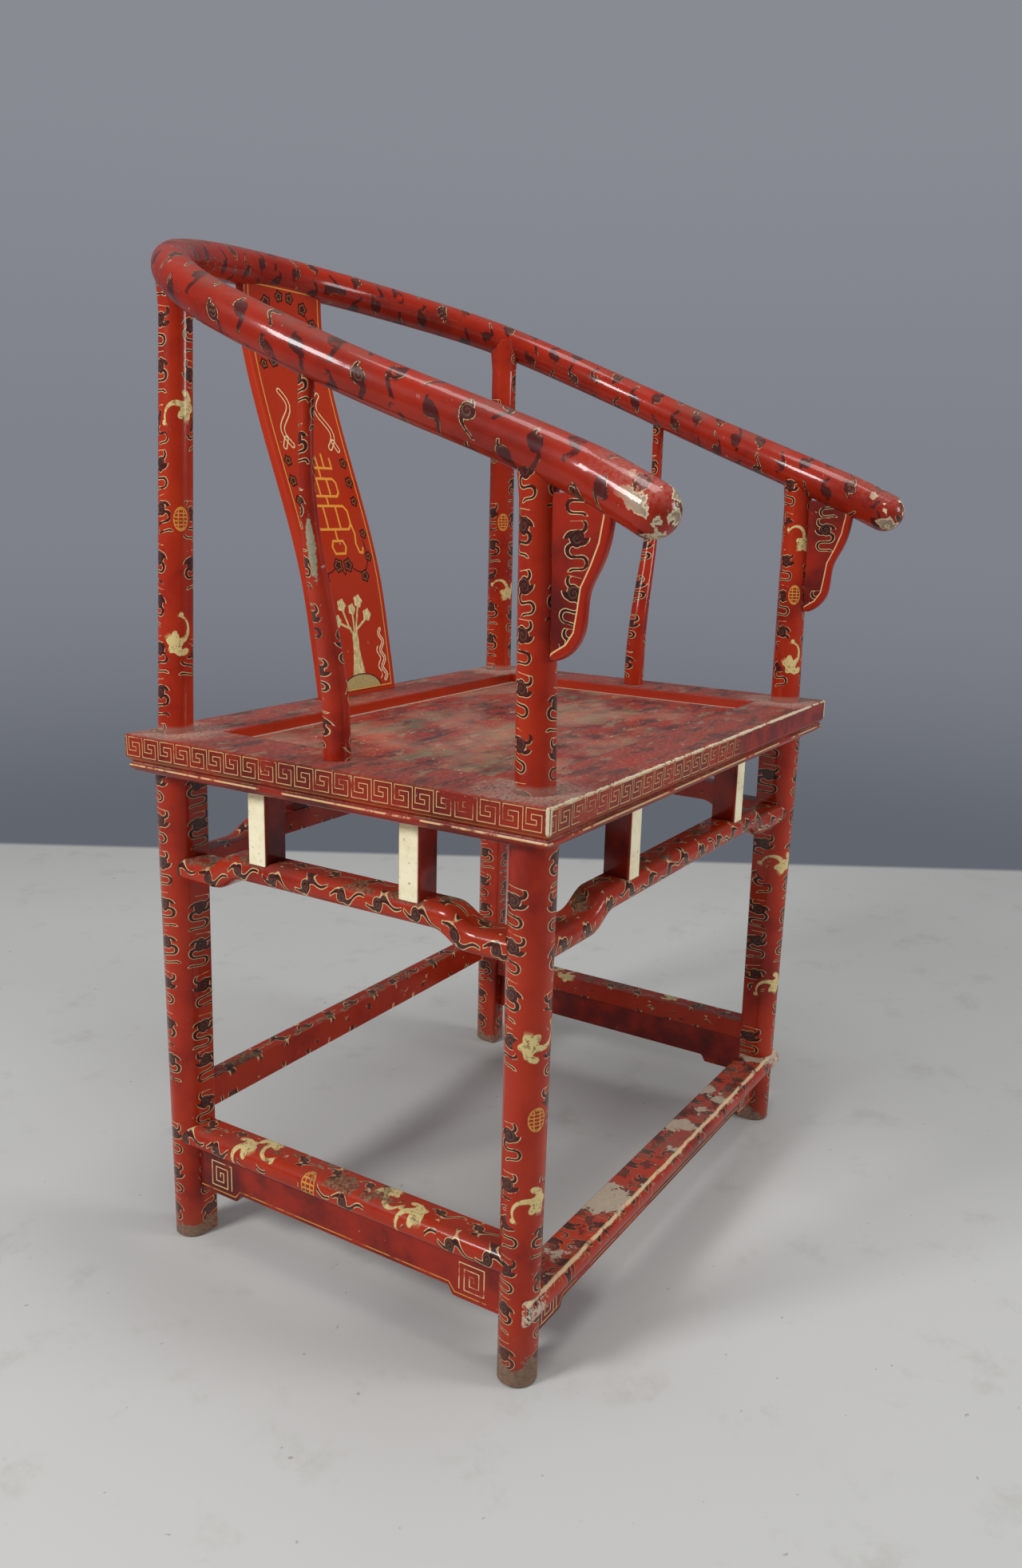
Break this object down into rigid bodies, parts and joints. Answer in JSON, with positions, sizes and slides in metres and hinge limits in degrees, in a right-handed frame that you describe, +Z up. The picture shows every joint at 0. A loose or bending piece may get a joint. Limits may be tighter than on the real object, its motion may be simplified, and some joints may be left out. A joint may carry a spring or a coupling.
{
  "type": "horseshoe back armchair",
  "caption": "Red lacquered wooden horseshoe back armchair with a continuous crest rail, a curved splat, a recessed hard seat and humpback stretchers.",
  "frame": {"origin": "on the floor, at the centre of the chair's overall footprint", "axes": "+Z up, -Y towards the front of the seat, +X towards the sitter's left"},
  "size_m": [0.6434, 0.62, 0.9502],
  "materials": {
    "crest_lacquer": "glossy",
    "peg_lacquer": "glossy",
    "post_lacquer": "glossy",
    "splat_lacquer": "glossy",
    "spandrel_lacquer": "glossy",
    "panel_lacquer": "satin",
    "seat_lacquer": "satin",
    "stretcher_lacquer": "satin",
    "strut_gilt": "satin",
    "footrest_lacquer": "satin",
    "apron_lacquer": "satin",
    "bare_wood": "matte"
  },
  "bodies": {
    "root": {"apron_left": "apron_lacquer", "apron_right": "apron_lacquer", "arm_spandrel_left": "spandrel_lacquer", "arm_spandrel_right": "spandrel_lacquer", "batten_left": "bare_wood", "batten_right": "bare_wood", "crest_arm_left": "crest_lacquer", "crest_arm_right": "crest_lacquer", "crest_center": "crest_lacquer", "crest_pegs": "peg_lacquer", "crest_shoulder_left": "crest_lacquer", "crest_shoulder_right": "crest_lacquer", "footrest": "footrest_lacquer", "footrest_apron": "apron_lacquer", "humpback_back": "stretcher_lacquer", "humpback_front": "stretcher_lacquer", "humpback_left": "stretcher_lacquer", "humpback_right": "stretcher_lacquer", "leg_front_left": "post_lacquer", "leg_front_right": "post_lacquer", "leg_rear_left": "post_lacquer", "leg_rear_right": "post_lacquer", "seat_back": "seat_lacquer", "seat_front": "seat_lacquer", "seat_panel": "panel_lacquer", "seat_side_left": "seat_lacquer", "seat_side_right": "seat_lacquer", "side_post_left": "post_lacquer", "side_post_right": "post_lacquer", "splat": "splat_lacquer", "stretcher_back": "stretcher_lacquer", "stretcher_left": "stretcher_lacquer", "stretcher_right": "stretcher_lacquer", "strut_back_1": "strut_gilt", "strut_back_2": "strut_gilt", "strut_front_1": "strut_gilt", "strut_front_2": "strut_gilt", "strut_left_1": "strut_gilt", "strut_left_2": "strut_gilt", "strut_right_1": "strut_gilt", "strut_right_2": "strut_gilt"}
  },
  "joints": []
}
